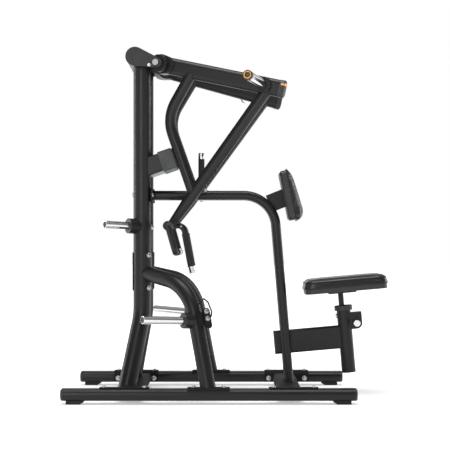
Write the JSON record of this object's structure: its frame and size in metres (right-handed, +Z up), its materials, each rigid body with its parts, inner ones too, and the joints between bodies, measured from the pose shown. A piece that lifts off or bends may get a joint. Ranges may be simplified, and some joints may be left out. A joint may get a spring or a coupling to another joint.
{
  "type": "plate loaded low row machine",
  "caption": "Chest-supported rowing machine with two diverging plate-loaded arms, an adjustable seat and plate storage horns on a tubular steel frame",
  "frame": {"origin": "on the floor under the middle of the bounding box", "axes": "+X points from the uprights to the seat, +Y to the user's right, +Z up"},
  "size_m": [1.73, 1.2144, 1.877],
  "materials": {
    "powder_black": "satin black powder coat",
    "plastic_black": "moulded, matt",
    "rubber_black": "matt rubber",
    "vinyl_black": "upholstery vinyl, fine grain",
    "plastic_grey": "moulded, matt, dark grey",
    "chrome": "polished chrome plate",
    "zinc_steel": "bright zinc plate"
  },
  "bodies": {
    "frame": {"rail_left": "powder_black", "rail_right": "powder_black", "rail_end_caps": "plastic_black", "feet": "rubber_black", "rear_crossmember": "powder_black", "front_crossmember": "powder_black", "rail_saddles": "powder_black", "upright_left": "powder_black", "upright_right": "powder_black", "arch_left": "powder_black", "arch_right": "powder_black", "clamp_plates": "powder_black", "head_tube": "powder_black", "pivot_plates": "powder_black", "pivot_shafts": "chrome", "stop_beam": "powder_black", "stop_cap": "plastic_grey", "stop_pads": "rubber_black", "storage_horns": "chrome", "storage_bosses": "powder_black", "chest_frame_left": "powder_black", "chest_frame_right": "powder_black", "chest_frame_flange": "powder_black", "chest_pad_bracket": "powder_black", "chest_pad_backing": "plastic_black", "chest_pad_cushion": "vinyl_black", "centre_handle": "powder_black", "seat_beam": "powder_black", "seat_post": "powder_black", "seat_post_bush": "plastic_black", "seat_latch_bracket": "powder_black", "accessory_hook": "powder_black", "frame_bolts": "zinc_steel"},
    "left_arm": {"hub_left": "powder_black", "hub_bushes_left": "plastic_black", "top_tube_left": "powder_black", "rear_strut_left": "powder_black", "front_strut_left": "powder_black", "loading_horn_left": "chrome", "horn_collar_left": "powder_black", "arm_end_caps_left": "plastic_black", "handle_frame_left": "powder_black", "grips_left": "rubber_black", "grip_caps_left": "chrome"},
    "right_arm": {"hub_right": "powder_black", "hub_bushes_right": "plastic_black", "top_tube_right": "powder_black", "rear_strut_right": "powder_black", "front_strut_right": "powder_black", "loading_horn_right": "chrome", "horn_collar_right": "powder_black", "arm_end_caps_right": "plastic_black", "handle_frame_right": "powder_black", "grips_right": "rubber_black", "grip_caps_right": "chrome"},
    "seat": {"seat_stem": "powder_black", "seat_plate": "plastic_black", "seat_cushion": "vinyl_black"},
    "seat_latch": {"seat_latch_handle": "chrome", "seat_latch_pin": "zinc_steel"}
  },
  "joints": [
    {"name": "left_arm_pivot", "type": "hinge", "parent": "frame", "child": "left_arm", "pos_m": [-0.356, -0.118, 1.794], "axis": [-0.3007, -0.9537, 0], "range_deg": [0, 50]},
    {"name": "right_arm_pivot", "type": "hinge", "parent": "frame", "child": "right_arm", "pos_m": [-0.356, 0.118, 1.794], "axis": [0.3007, -0.9537, 0], "range_deg": [0, 50]},
    {"name": "seat_height", "type": "slide", "parent": "frame", "child": "seat", "axis": [-0.0872, 0, 0.9962], "range_m": [-0.05, 0.1]},
    {"name": "seat_latch_pull", "type": "slide", "parent": "frame", "child": "seat_latch", "axis": [0.9962, 0, 0.0872], "range_m": [0, 0.012], "stiffness_N_per_m": 600, "springref_m": -0.01}
  ]
}
